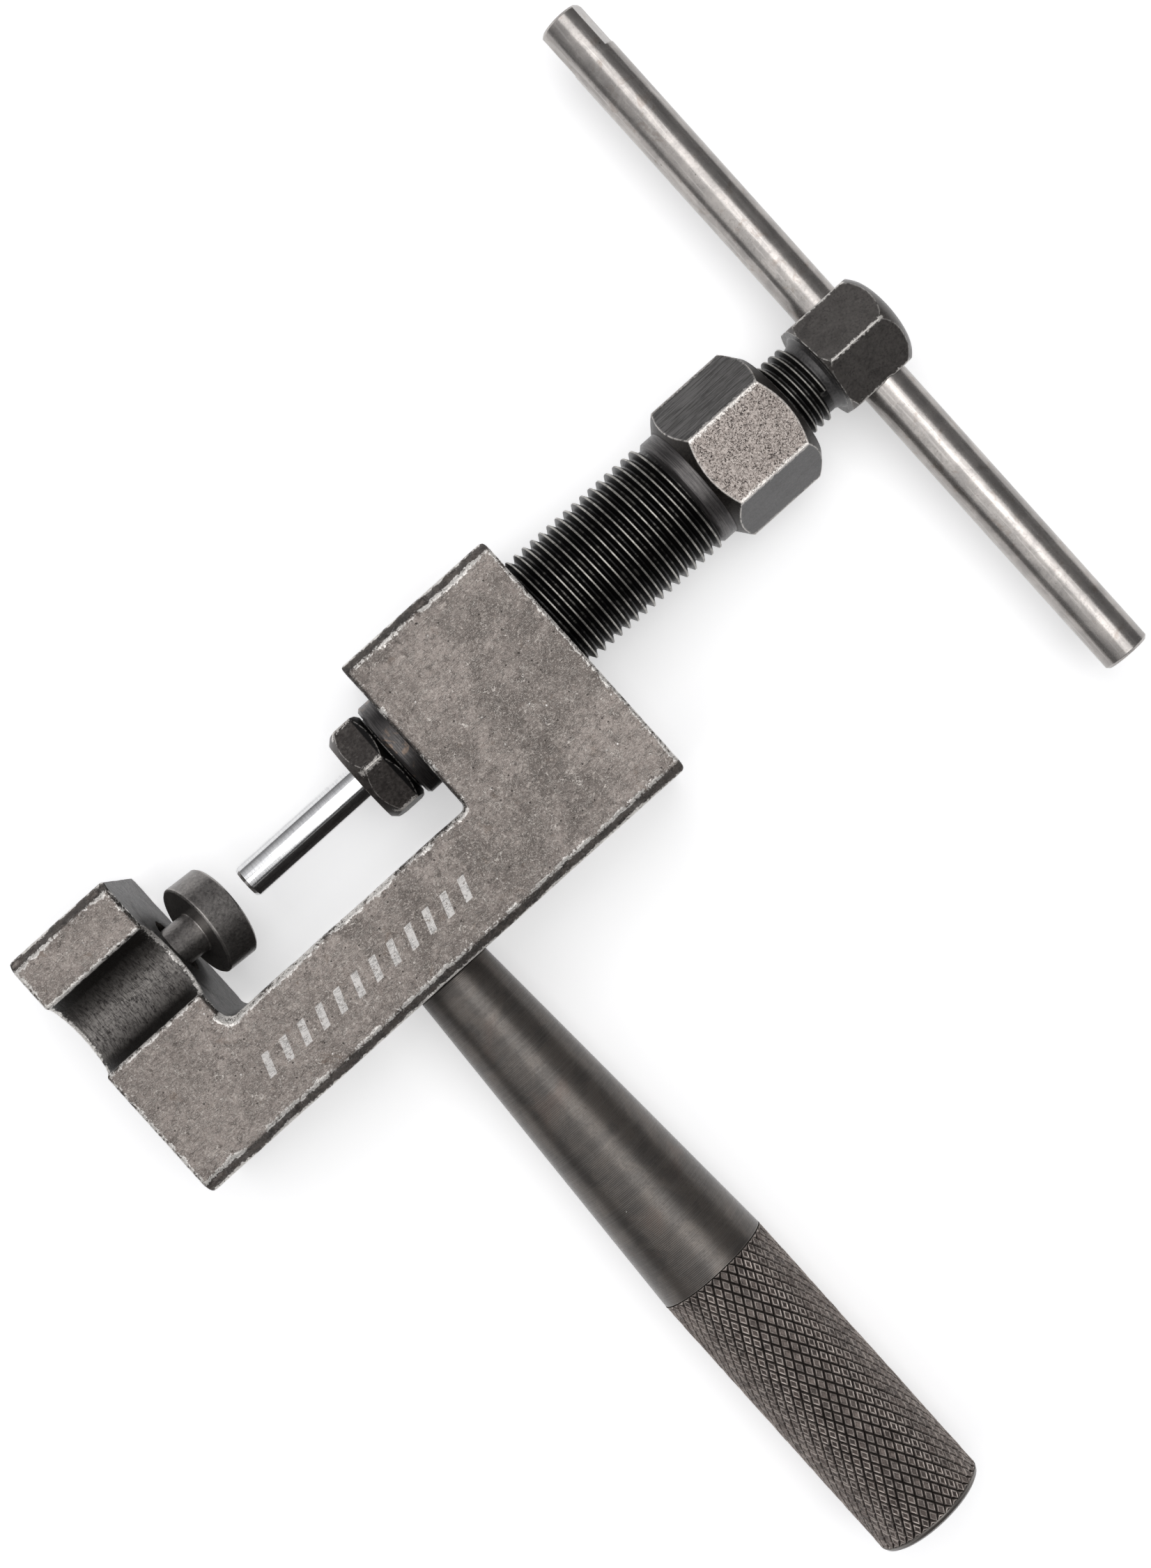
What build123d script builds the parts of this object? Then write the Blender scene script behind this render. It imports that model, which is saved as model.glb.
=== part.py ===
"""Chain breaker and riveter: C-frame, pressure bolt, punch, drive bolt, T-bar, anvil and handle.

Millimetres.  +X runs along the screw axis from the anvil to the T-bar, -Y is the
handle's side, +Z is up when the tool lies flat.  The origin is on the screw axis at
the tip of the punch pin.
"""

import math
import os

from build123d import *

os.makedirs("parts", exist_ok=True)

# ---------------------------------------------------------------- driving sizes
# C-frame, cut from 40 x 25 flat bar
frame_width = 40.0
frame_thick = 25.0
anvil_jaw = 16.5
gap_length = 41.5
screw_jaw = 25.0
edge_above_axis = 12.2
gap_depth = 24.6
edge_chamfer = 1.4
gap_edge_break = 0.5
outer_corner_r = 0.7
gap_corner_r_anvil = 1.6
gap_corner_r_screw = 0.7
channel_r = 5.7
channel_y = -1.6
anvil_bore_r = 4.1
anvil_bore_depth = 9.5
rivet_escape_r = 3.1
tip_to_anvil_jaw = 12.6

# pressure bolt, M18 x 1.5 outside and M12 x 1.25 inside, 19 mm hexagon
big_thread_r = 8.94
big_thread_core_r = 8.05
big_thread_pitch = 1.5
frame_bore_r = 9.03
nose_r = 7.5
nose_x = 26.5
nose_length = 4.0
big_neck_r = 8.65
big_neck_x = 79.2
big_hex_x = 81.3
big_hex_end_x = 96.8
big_hex_af = 18.85
big_hex_turn = 8.7

# drive bolt, M12 x 1.25 with a 14 mm hexagon head
small_thread_r = 5.94
small_thread_core_r = 5.22
small_thread_pitch = 1.25
bolt_bore_r = 6.03
drive_tip_x = 50.02
drive_thread_x = 74.0
drive_neck_x = 102.5
drive_head_x = 103.8
drive_head_end_x = 116.6
small_hex_af = 14.0
drive_hex_turn = 4.5
bar_hole_x = 109.76
bar_hole_r = 3.57

# punch pin, its guide nut and its return spring
pin_r = 2.5
pin_head_r = 5.2
pin_head_x = 47.0
pin_head_thick = 3.0
guide_bore_r = 2.54
guide_hex_x = 20.6
guide_hex_end_x = 26.2
guide_stud_end_x = 34.5
guide_stud_r = 6.0
guide_hex_turn = 28.5
spring_wire_r = 0.5
spring_mean_r = 4.2
spring_turns = 6

# T-bar
bar_r = 3.5
bar_length = 115.5
bar_centre_y = 1.2
bar_flat_depth = 0.5
bar_flat_length = 7.0
bar_flat_angle = 27.0

# anvil, loose in its bore and nodding down as the tool lies flat
anvil_disc_r = 7.0
anvil_disc_thick = 5.0
anvil_stem_r = 3.0
anvil_shown_stem = 3.15
anvil_stem_length = 8.0
anvil_nod = 23.5
anvil_yaw = -2.5
anvil_pivot_depth = 1.68

# handle
handle_length = 97.0
taper_length = 52.5
handle_neck_r = 5.75
grip_r = 8.5
stud_r = 4.0
stud_length = 22.0

# ---------------------------------------------------------------- derived places
jaw_face_x = -tip_to_anvil_jaw
frame_x0 = jaw_face_x - anvil_jaw
screw_face_x = jaw_face_x + gap_length
frame_x1 = screw_face_x + screw_jaw
frame_mid_x = (frame_x0 + frame_x1) / 2
frame_y1 = edge_above_axis
frame_y0 = frame_y1 - frame_width
spine_y = frame_y1 - gap_depth
half_thick = frame_thick / 2


def hex_corner_radius(across_flats):
    """Radius of the circle through a hexagon's corners."""
    return across_flats / math.sqrt(3)


def thread_ridge(core_r, crest_r, pitch, x_start, length):
    """One helical ridge along +X, its root sunk a little into the core it is fused to."""
    depth = crest_r - core_r
    root = 0.44 * pitch
    crest = 0.07 * pitch
    sink = 0.05
    with BuildPart(mode=Mode.PRIVATE) as ridge:
        with BuildLine() as helix:
            Helix(pitch=pitch, height=length, radius=core_r, center=(x_start, 0, 0), direction=(1, 0, 0))
        with BuildSketch(Plane(origin=helix.line @ 0, x_dir=(1, 0, 0), z_dir=helix.line % 0)) as tooth:
            with BuildLine():
                Polyline((-root, -sink), (-crest, depth), (crest, depth), (root, -sink), close=True)
            make_face()
        sweep(path=helix.line, is_frenet=True)
    return ridge.part


# ---------------------------------------------------------------- C-frame
# The block is sketched in plan, chamfered along its two long edges, then bored.
with BuildPart() as frame_body:
    with BuildSketch(Plane.XY.offset(-half_thick)):
        with Locations((frame_mid_x, (frame_y0 + frame_y1) / 2)):
            Rectangle(frame_x1 - frame_x0, frame_width)
        with Locations(((jaw_face_x + screw_face_x) / 2, frame_y1)):
            Rectangle(gap_length, 2 * gap_depth, mode=Mode.SUBTRACT)
    extrude(amount=frame_thick)
    upright = frame_body.edges().filter_by(Axis.Z)
    anvil_corner = upright.filter_by_position(Axis.X, jaw_face_x - 0.1, jaw_face_x + 0.1)
    screw_corner = upright.filter_by_position(Axis.X, screw_face_x - 0.1, screw_face_x + 0.1)
    fillet(anvil_corner.sort_by(Axis.Y)[0], gap_corner_r_anvil)
    fillet(screw_corner.sort_by(Axis.Y)[0], gap_corner_r_screw)
    upright = frame_body.edges().filter_by(Axis.Z)
    outer = upright.filter_by_position(Axis.X, frame_x0 - 0.1, frame_x0 + 0.1)
    outer += upright.filter_by_position(Axis.X, frame_x1 - 0.1, frame_x1 + 0.1)
    fillet(outer, outer_corner_r)
    # long outer edges: the back of the spine and the free edges of both jaws
    for side_y in (frame_y0, frame_y1):
        for side_z in (-half_thick, half_thick):
            with BuildSketch(Plane.YZ.offset(frame_x0 - 1)):
                with Locations((side_y, side_z)):
                    Rectangle(edge_chamfer * math.sqrt(2), edge_chamfer * math.sqrt(2), rotation=45)
            extrude(amount=frame_x1 - frame_x0 + 2, mode=Mode.SUBTRACT)
    # hand-broken edges of the gap along the spine
    gap_rims = frame_body.edges().filter_by(Axis.X)
    gap_rims = gap_rims.filter_by_position(Axis.Y, spine_y - 0.1, spine_y + 0.1)
    chamfer(gap_rims, gap_edge_break)
    # half-round channel across the top of the anvil jaw
    with BuildSketch(Plane.YZ.offset(frame_x0 - 1)):
        with Locations((channel_y, half_thick)):
            Circle(channel_r)
    extrude(amount=anvil_jaw + 2, mode=Mode.SUBTRACT)
    # stepped bore for the anvil stem, open behind so that a pressed-out rivet can leave
    with BuildSketch(Plane.YZ.offset(frame_x0 - 1)):
        Circle(rivet_escape_r)
    extrude(amount=anvil_jaw + 2, mode=Mode.SUBTRACT)
    with BuildSketch(Plane.YZ.offset(jaw_face_x - anvil_bore_depth)):
        Circle(anvil_bore_r)
    extrude(amount=anvil_bore_depth + 1, mode=Mode.SUBTRACT)
    # main bore for the pressure bolt
    with BuildSketch(Plane.YZ.offset(screw_face_x - 1)):
        Circle(frame_bore_r)
    extrude(amount=screw_jaw + 2, mode=Mode.SUBTRACT)
    # blind hole in the spine for the handle stud
    with BuildSketch(Plane.XZ.offset(-frame_y0)):
        with Locations((frame_mid_x, 0)):
            Circle(stud_r)
    extrude(amount=-(stud_length / 2 + 0.5), mode=Mode.SUBTRACT)
frame_body.part.label = "frame_body"
export_step(frame_body.part, "parts/frame_body.step")

# ---------------------------------------------------------------- handle
# A turned taper that swells into the knurled grip, with a blind hole for the stud.
grip_y = frame_y0 - taper_length
end_y = frame_y0 - handle_length
with BuildPart() as handle:
    with BuildSketch(Plane.XY):
        with BuildLine():
            Polyline(
                (frame_mid_x, frame_y0),
                (frame_mid_x + handle_neck_r, frame_y0),
                (frame_mid_x + grip_r, grip_y),
                (frame_mid_x + grip_r, end_y + 0.8),
                (frame_mid_x + grip_r - 0.8, end_y),
                (frame_mid_x, end_y),
                close=True,
            )
        make_face()
    revolve(axis=Axis((frame_mid_x, 0, 0), (0, 1, 0)))
    with BuildSketch(Plane.XZ.offset(-frame_y0)):
        with Locations((frame_mid_x, 0)):
            Circle(stud_r)
    extrude(amount=stud_length / 2 + 0.5, mode=Mode.SUBTRACT)
handle.part.label = "handle"
export_step(handle.part, "parts/handle.step")

# Stud that joins handle and spine; its thread stands at the major diameter.
with BuildPart() as handle_stud:
    with BuildSketch(Plane.XZ.offset(-frame_y0 - stud_length / 2)):
        with Locations((frame_mid_x, 0)):
            Circle(stud_r)
    extrude(amount=stud_length)
    chamfer(handle_stud.edges().filter_by(GeomType.CIRCLE), 0.8)
handle_stud.part.label = "handle_stud"
export_step(handle_stud.part, "parts/handle_stud.step")

# ---------------------------------------------------------------- anvil
# Turned mushroom: revolved about its own axis, which nods down out of the bore.
nod = math.radians(anvil_nod)
yaw = math.radians(anvil_yaw)
anvil_dir = Vector(math.cos(nod) * math.cos(yaw), math.cos(nod) * math.sin(yaw), -math.sin(nod))
anvil_pivot = Vector(jaw_face_x - anvil_pivot_depth, 0, 0)
disc_rear = anvil_pivot_depth / math.cos(nod) + anvil_shown_stem
disc_front = disc_rear + anvil_disc_thick
stem_end = disc_rear - anvil_stem_length
anvil_plane = Plane(origin=anvil_pivot, x_dir=anvil_dir, z_dir=anvil_dir.cross(Vector(0, 1, 0)))
with BuildPart() as anvil:
    with BuildSketch(anvil_plane):
        with BuildLine():
            Polyline(
                (stem_end, 0),
                (stem_end, anvil_stem_r - 0.4),
                (stem_end + 0.4, anvil_stem_r),
                (disc_rear, anvil_stem_r),
                (disc_rear, anvil_disc_r - 0.25),
                (disc_rear + 0.25, anvil_disc_r),
                (disc_front - 0.3, anvil_disc_r),
                (disc_front, anvil_disc_r - 0.3),
                (disc_front, 0),
                close=True,
            )
        make_face()
    revolve(axis=Axis(anvil_pivot, anvil_dir))
anvil.part.label = "anvil"
export_step(anvil.part, "parts/anvil.step")

# ---------------------------------------------------------------- pressure bolt
# Turned core with the nose and neck, chamfered hexagon, helical thread, through bore.
big_corner = hex_corner_radius(big_hex_af)
with BuildPart() as pressure_bolt:
    with BuildSketch(Plane.XY):
        with BuildLine():
            Polyline(
                (nose_x, 0),
                (nose_x, nose_r - 0.4),
                (nose_x + 0.4, nose_r),
                (nose_x + nose_length, nose_r),
                (nose_x + nose_length + 0.5, big_thread_core_r),
                (big_neck_x - 0.6, big_thread_core_r),
                (big_neck_x, big_neck_r),
                (big_hex_x, big_neck_r),
                (big_hex_x, 0),
                close=True,
            )
        make_face()
    revolve(axis=Axis.X)
    thread_start = nose_x + nose_length + 0.8
    add(
        thread_ridge(
            big_thread_core_r,
            big_thread_r,
            big_thread_pitch,
            thread_start,
            big_neck_x - 0.9 - thread_start,
        )
    )
    with BuildPart(mode=Mode.PRIVATE) as big_hex:
        with BuildSketch(Plane.YZ.offset(big_hex_x)):
            RegularPolygon(big_corner, 6, rotation=big_hex_turn)
        extrude(amount=big_hex_end_x - big_hex_x)
        with BuildSketch(Plane.XY):
            with BuildLine():
                Polyline(
                    (big_hex_x, 0),
                    (big_hex_x, big_neck_r + 0.1),
                    (big_hex_x + 1.7, big_corner + 0.05),
                    (big_hex_end_x - 1.9, big_corner + 0.05),
                    (big_hex_end_x, 8.5),
                    (big_hex_end_x, 0),
                    close=True,
                )
            make_face()
        revolve(axis=Axis.X, mode=Mode.INTERSECT)
    add(big_hex.part)
    with BuildSketch(Plane.YZ.offset(nose_x - 1)):
        Circle(bolt_bore_r)
    extrude(amount=big_hex_end_x - nose_x + 2, mode=Mode.SUBTRACT)
    with BuildSketch(Plane.XY):
        with BuildLine():
            Polyline(
                (big_hex_end_x - 0.6, bolt_bore_r - 0.05),
                (big_hex_end_x + 0.1, bolt_bore_r - 0.05),
                (big_hex_end_x + 0.1, bolt_bore_r + 0.65),
                close=True,
            )
        make_face()
    revolve(axis=Axis.X, mode=Mode.SUBTRACT)
pressure_bolt.part.label = "pressure_bolt"
export_step(pressure_bolt.part, "parts/pressure_bolt.step")

# ---------------------------------------------------------------- pin guide nut
# Small hexagon with a stud that screws into the nose of the pressure bolt.
small_corner = hex_corner_radius(small_hex_af)
with BuildPart() as pin_guide_nut:
    with BuildSketch(Plane.YZ.offset(guide_hex_x)):
        RegularPolygon(small_corner, 6, rotation=guide_hex_turn)
    extrude(amount=guide_hex_end_x - guide_hex_x)
    with BuildSketch(Plane.XY):
        with BuildLine():
            Polyline(
                (guide_hex_x, 0),
                (guide_hex_x, small_corner - 1.75),
                (guide_hex_x + 1.9, small_corner + 0.05),
                (guide_hex_end_x - 1.1, small_corner + 0.05),
                (guide_hex_end_x, small_corner - 1.55),
                (guide_hex_end_x, 0),
                close=True,
            )
        make_face()
    revolve(axis=Axis.X, mode=Mode.INTERSECT)
    with BuildSketch(Plane.XY):
        with BuildLine():
            Polyline(
                (guide_hex_end_x, 0),
                (guide_hex_end_x, guide_stud_r),
                (guide_stud_end_x - 0.8, guide_stud_r),
                (guide_stud_end_x, guide_stud_r - 0.8),
                (guide_stud_end_x, 0),
                close=True,
            )
        make_face()
    revolve(axis=Axis.X)
    with BuildSketch(Plane.YZ.offset(guide_hex_x - 1)):
        Circle(guide_bore_r)
    extrude(amount=guide_stud_end_x - guide_hex_x + 2, mode=Mode.SUBTRACT)
pin_guide_nut.part.label = "pin_guide_nut"
export_step(pin_guide_nut.part, "parts/pin_guide_nut.step")

# ---------------------------------------------------------------- punch pin
with BuildPart() as punch_pin:
    with BuildSketch(Plane.XY):
        with BuildLine():
            Polyline(
                (0, 0),
                (0, pin_r - 0.35),
                (0.45, pin_r),
                (pin_head_x, pin_r),
                (pin_head_x, pin_head_r),
                (pin_head_x + pin_head_thick - 0.5, pin_head_r),
                (pin_head_x + pin_head_thick, pin_head_r - 0.5),
                (pin_head_x + pin_head_thick, 0),
                close=True,
            )
        make_face()
    revolve(axis=Axis.X)
punch_pin.part.label = "punch_pin"
export_step(punch_pin.part, "parts/punch_pin.step")

# ---------------------------------------------------------------- return spring
# Round wire wound between the guide nut's stud and the head of the pin.
spring_x0 = guide_stud_end_x + spring_wire_r + 0.03
spring_x1 = pin_head_x - spring_wire_r - 0.03
with BuildPart() as return_spring:
    with BuildLine() as coil:
        Helix(
            pitch=(spring_x1 - spring_x0) / spring_turns,
            height=spring_x1 - spring_x0,
            radius=spring_mean_r,
            center=(spring_x0, 0, 0),
            direction=(1, 0, 0),
        )
    with BuildSketch(Plane(origin=coil.line @ 0, z_dir=coil.line % 0)):
        Circle(spring_wire_r)
    sweep(path=coil.line, is_frenet=True)
return_spring.part.label = "return_spring"
export_step(return_spring.part, "parts/return_spring.step")

# ---------------------------------------------------------------- drive bolt
# Dog point, helical thread, neck and a domed hexagon head cross-drilled for the T-bar.
# The stretch that never leaves the pressure bolt stands at the thread's major diameter.
with BuildPart() as drive_bolt:
    with BuildSketch(Plane.XY):
        with BuildLine():
            Polyline(
                (drive_tip_x, 0),
                (drive_tip_x, 3.7),
                (drive_tip_x + 0.5, 4.2),
                (drive_tip_x + 3.0, 4.2),
                (drive_tip_x + 5.0, small_thread_r),
                (drive_thread_x, small_thread_r),
                (drive_thread_x, small_thread_core_r),
                (drive_neck_x, small_thread_core_r),
                (drive_neck_x + 0.3, 5.35),
                (drive_head_x - 0.4, 5.5),
                (drive_head_x, 6.1),
                (drive_head_x, 0),
                close=True,
            )
        make_face()
    revolve(axis=Axis.X)
    add(
        thread_ridge(
            small_thread_core_r,
            small_thread_r,
            small_thread_pitch,
            drive_thread_x + 0.3,
            drive_neck_x - 0.9 - drive_thread_x,
        )
    )
    with BuildPart(mode=Mode.PRIVATE) as drive_head:
        with BuildSketch(Plane.YZ.offset(drive_head_x)):
            RegularPolygon(small_corner, 6, rotation=drive_hex_turn - 30)
        extrude(amount=drive_head_end_x - drive_head_x)
        with BuildSketch(Plane.XY):
            with BuildLine():
                Polyline(
                    (drive_head_x, 0),
                    (drive_head_x, small_corner - 0.75),
                    (drive_head_x + 0.8, small_corner + 0.05),
                    (drive_head_end_x - 3.8, small_corner + 0.05),
                )
                ThreePointArc(
                    (drive_head_end_x - 3.8, small_corner + 0.05),
                    (drive_head_end_x - 1.85, 7.05),
                    (drive_head_end_x - 0.75, 5.2),
                )
                ThreePointArc(
                    (drive_head_end_x - 0.75, 5.2),
                    (drive_head_end_x - 0.18, 2.6),
                    (drive_head_end_x, 0),
                )
                Line((drive_head_end_x, 0), (drive_head_x, 0))
            make_face()
        revolve(axis=Axis.X, mode=Mode.INTERSECT)
    add(drive_head.part)
    with BuildSketch(Plane.XZ.offset(-10)):
        with Locations((bar_hole_x, 0)):
            Circle(bar_hole_r)
    extrude(amount=20, mode=Mode.SUBTRACT)
drive_bolt.part.label = "drive_bolt"
export_step(drive_bolt.part, "parts/drive_bolt.step")

# ---------------------------------------------------------------- T-bar
# Plain round bar; the end towards +Y is pressed flat on two sides.
bar_y0 = bar_centre_y - bar_length / 2
bar_y1 = bar_centre_y + bar_length / 2
with BuildPart() as tommy_bar:
    with BuildSketch(Plane.XZ.offset(-bar_y1)):
        with Locations((bar_hole_x, 0)):
            Circle(bar_r)
    extrude(amount=bar_length)
    chamfer(tommy_bar.edges().filter_by(GeomType.CIRCLE), 0.35)
    for side in (0, 180):
        angle = math.radians(bar_flat_angle + side)
        reach = bar_r - bar_flat_depth + 2
        with BuildPart(mode=Mode.PRIVATE) as press_mark:
            Box(4, bar_flat_length + 1, 8)
        mark = press_mark.part.rotate(Axis.Y, -(bar_flat_angle + side))
        mark = mark.translate(
            (
                bar_hole_x + reach * math.cos(angle),
                bar_y1 + (1 - bar_flat_length) / 2,
                reach * math.sin(angle),
            )
        )
        add(mark, mode=Mode.SUBTRACT)
tommy_bar.part.label = "tommy_bar"
export_step(tommy_bar.part, "parts/tommy_bar.step")
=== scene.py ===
import math

import bpy
import numpy as np
from mathutils import Matrix, Vector


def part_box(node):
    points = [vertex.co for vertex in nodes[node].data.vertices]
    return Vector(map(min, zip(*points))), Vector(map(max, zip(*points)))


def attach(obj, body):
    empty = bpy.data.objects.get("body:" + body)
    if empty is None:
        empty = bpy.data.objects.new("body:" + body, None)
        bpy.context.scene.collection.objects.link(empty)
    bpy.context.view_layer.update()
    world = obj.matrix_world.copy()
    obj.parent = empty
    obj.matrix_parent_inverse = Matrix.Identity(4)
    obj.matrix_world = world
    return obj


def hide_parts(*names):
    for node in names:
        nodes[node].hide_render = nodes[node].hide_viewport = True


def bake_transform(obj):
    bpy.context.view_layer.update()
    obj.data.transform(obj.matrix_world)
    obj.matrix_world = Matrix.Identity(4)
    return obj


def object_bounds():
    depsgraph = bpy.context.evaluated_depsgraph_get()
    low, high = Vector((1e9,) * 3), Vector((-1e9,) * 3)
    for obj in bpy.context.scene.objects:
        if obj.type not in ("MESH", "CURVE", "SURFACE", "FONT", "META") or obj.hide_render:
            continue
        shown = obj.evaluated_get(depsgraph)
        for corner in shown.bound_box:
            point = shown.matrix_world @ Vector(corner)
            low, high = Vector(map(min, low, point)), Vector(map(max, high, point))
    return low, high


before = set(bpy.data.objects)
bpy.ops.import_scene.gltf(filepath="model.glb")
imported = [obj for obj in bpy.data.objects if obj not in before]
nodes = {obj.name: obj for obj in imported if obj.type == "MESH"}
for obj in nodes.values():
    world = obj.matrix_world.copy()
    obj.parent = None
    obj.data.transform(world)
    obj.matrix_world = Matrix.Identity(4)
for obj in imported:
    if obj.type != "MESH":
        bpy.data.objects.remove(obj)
cad_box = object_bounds()
MM = 0.001

# Sizes in mm that the CAD boxes don't give.
ANVIL_JAW = 16.5
SCREW_JAW_START = 58.0
GAP_DEPTH = 24.6
GAP_LENGTH = 41.5
CORNER_AT_ANVIL = 1.6
CORNER_AT_SCREW = 0.7
CHANNEL_Y = -1.6
CHANNEL_R = 5.7
MAIN_BORE_EDGE = 9.4
ANVIL_BORE_EDGE = 4.5
TAPER_LENGTH = 52.5
HANDLE_NECK_R = 5.75
HANDLE_X = 12.4


# ------------------------------------------------------------------ node graphs
class Graph:
    """A node material with short names for the nodes used here. Lengths are in mm of the row frame."""

    def __init__(self, name):
        self.mat = bpy.data.materials.new(name)
        self.mat.use_nodes = True
        self.tree = self.mat.node_tree
        self.tree.nodes.clear()
        out = self.tree.nodes.new("ShaderNodeOutputMaterial")
        self.bsdf = self.tree.nodes.new("ShaderNodeBsdfPrincipled")
        self.tree.links.new(self.bsdf.outputs[0], out.inputs[0])
        coord = self.tree.nodes.new("ShaderNodeTexCoord")
        self.mm = self.vec("SCALE", coord.outputs["Object"], scale=1000.0)
        split = self.add("ShaderNodeSeparateXYZ", self.mm)
        self.x, self.y, self.z = split.outputs

    def put(self, socket, value):
        if isinstance(value, bpy.types.NodeSocket):
            self.tree.links.new(value, socket)
        elif value is not None:
            socket.default_value = value

    def add(self, kind, *values, **settings):
        node = self.tree.nodes.new(kind)
        for key, value in settings.items():
            setattr(node, key, value)
        for socket, value in zip(node.inputs, values):
            self.put(socket, value)
        return node

    def vec(self, operation, a, b=None, scale=None):
        node = self.add("ShaderNodeVectorMath", a, b, operation=operation)
        if scale is not None:
            self.put(node.inputs["Scale"], scale)
        return node.outputs[0]

    def math(self, operation, a, b=None, c=None, clamp=False):
        return self.add("ShaderNodeMath", a, b, c, operation=operation, use_clamp=clamp).outputs[0]

    def span(self, value, low, high, out_low=0.0, out_high=1.0, smooth=True):
        node = self.add("ShaderNodeMapRange")
        node.interpolation_type = "SMOOTHSTEP" if smooth else "LINEAR"
        for name, v in (
            ("Value", value),
            ("From Min", low),
            ("From Max", high),
            ("To Min", out_low),
            ("To Max", out_high),
        ):
            self.put(node.inputs[name], v)
        return node.outputs[0]

    def place(self, scale=(1, 1, 1), turn=(0, 0, 0), move=(0, 0, 0)):
        node = self.add("ShaderNodeMapping", self.mm)
        node.inputs["Location"].default_value = move
        node.inputs["Rotation"].default_value = [math.radians(a) for a in turn]
        node.inputs["Scale"].default_value = scale
        return node.outputs[0]

    def noise(self, scale, detail=2.0, rough=0.5, bend=0.0, at=None):
        node = self.add("ShaderNodeTexNoise")
        self.put(node.inputs["Vector"], self.mm if at is None else at)
        node.inputs["Scale"].default_value = scale
        node.inputs["Detail"].default_value = detail
        node.inputs["Roughness"].default_value = rough
        node.inputs["Distortion"].default_value = bend
        return node.outputs["Fac"]

    def cells(self, scale, at=None, feature="F1", jitter=1.0):
        node = self.add("ShaderNodeTexVoronoi", feature=feature)
        self.put(node.inputs["Vector"], self.mm if at is None else at)
        node.inputs["Scale"].default_value = scale
        node.inputs["Randomness"].default_value = jitter
        return node

    def mix(self, fac, a, b):
        node = self.tree.nodes.new("ShaderNodeMix")
        node.data_type = "RGBA"
        self.put(node.inputs[0], fac)
        self.put(node.inputs[6], a)
        self.put(node.inputs[7], b)
        return node.outputs[2]

    def product(self, *values):
        out = values[0]
        for v in values[1:]:
            out = self.math("MULTIPLY", out, v)
        return out

    def worn_edge(self, radius, low=0.03, high=0.16):
        """1 along edges, from the angle between the true and the rounded normal."""
        bevel = self.add("ShaderNodeBevel", radius * MM, samples=6)
        geometry = self.add("ShaderNodeNewGeometry")
        true_normal = geometry.outputs["Normal"]
        dot = self.add("ShaderNodeVectorMath", bevel.outputs[0], true_normal, operation="DOT_PRODUCT")
        return self.span(self.math("SUBTRACT", 1.0, dot.outputs["Value"]), low, high)

    def scratches(self, scale, width, keep, turn, stretch=7.0):
        """Short, slightly curved thin lines: the mid level of a stretched noise, kept only in patches."""
        at = self.place(scale=(1, stretch, 1), turn=(0, 0, turn), move=(turn, 3 * turn, 0))
        n = self.noise(scale, 1.0, 0.4, 1.2, at)
        line = self.span(self.math("ABSOLUTE", self.math("SUBTRACT", n, 0.5)), 0.0, width, 1.0, 0.0)
        cover = self.noise(0.9, 1.0, 0.5, 0.0, self.place(move=(turn, 7, 3)))
        patch = self.span(cover, keep, keep + 0.05)
        return self.product(line, patch)

    def attribute(self, name):
        node = self.add("ShaderNodeAttribute")
        node.attribute_name = name
        return node.outputs["Fac"]

    def hairlines(self, scale, width, keep, seed):
        """Thin crooked lines: pieces of a warped cell network."""
        warp = self.add("ShaderNodeTexNoise")
        self.put(warp.inputs["Vector"], self.place(move=(seed * 5, seed, 2)))
        warp.inputs["Scale"].default_value = scale * 2.2
        at = self.vec("ADD", self.mm, self.vec("SCALE", warp.outputs["Color"], scale=1.6))
        net = self.cells(scale, at, "DISTANCE_TO_EDGE").outputs["Distance"]
        patch = self.noise(0.5, 2.0, 0.5, 0.0, self.place(move=(seed * 3, 8, seed)))
        return self.product(self.span(net, 0.0, width, 1.0, 0.0), self.span(patch, keep, keep + 0.06))

    def specks(self, scale, size, keep, channel):
        """Sparse round dots, one in some of the cells."""
        cell = self.cells(scale, self.place(move=(channel * 7 + 3, 1, 8)))
        pick = self.add("ShaderNodeSeparateColor", cell.outputs["Color"]).outputs[channel]
        dot = self.span(cell.outputs["Distance"], size * 0.5, size, 1.0, 0.0)
        return self.product(dot, self.span(pick, keep, keep + 0.02))

    def rounded(self, radius):
        """The surface normal with edges softened over radius mm."""
        return self.add("ShaderNodeBevel", radius * MM, samples=6).outputs[0]

    def bump(self, height, distance, normal=None, strength=1.0):
        node = self.add("ShaderNodeBump")
        node.inputs["Strength"].default_value = strength
        node.inputs["Distance"].default_value = distance * MM
        self.put(node.inputs["Height"], height)
        if normal is not None:
            self.put(node.inputs["Normal"], normal)
        return node.outputs[0]

    def finish(self, color, rough, metallic, normal=None, **uniform):
        self.put(self.bsdf.inputs["Base Color"], color)
        self.put(self.bsdf.inputs["Roughness"], rough)
        self.put(self.bsdf.inputs["Metallic"], metallic)
        if normal is not None:
            self.put(self.bsdf.inputs["Normal"], normal)
        for name, value in uniform.items():
            self.bsdf.inputs[name.replace("_", " ")].default_value = value
        return self.mat


def rgb(r, g, b):
    """Linear colour from 0-255 display values."""
    out = [(c / 255 / 12.92 if c <= 10 else ((c / 255 + 0.055) / 1.055) ** 2.4) for c in (r, g, b)]
    return (*out, 1.0)


def dress(node, material):
    mesh = nodes[node].data
    mesh.materials.clear()
    mesh.materials.append(material)


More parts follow.
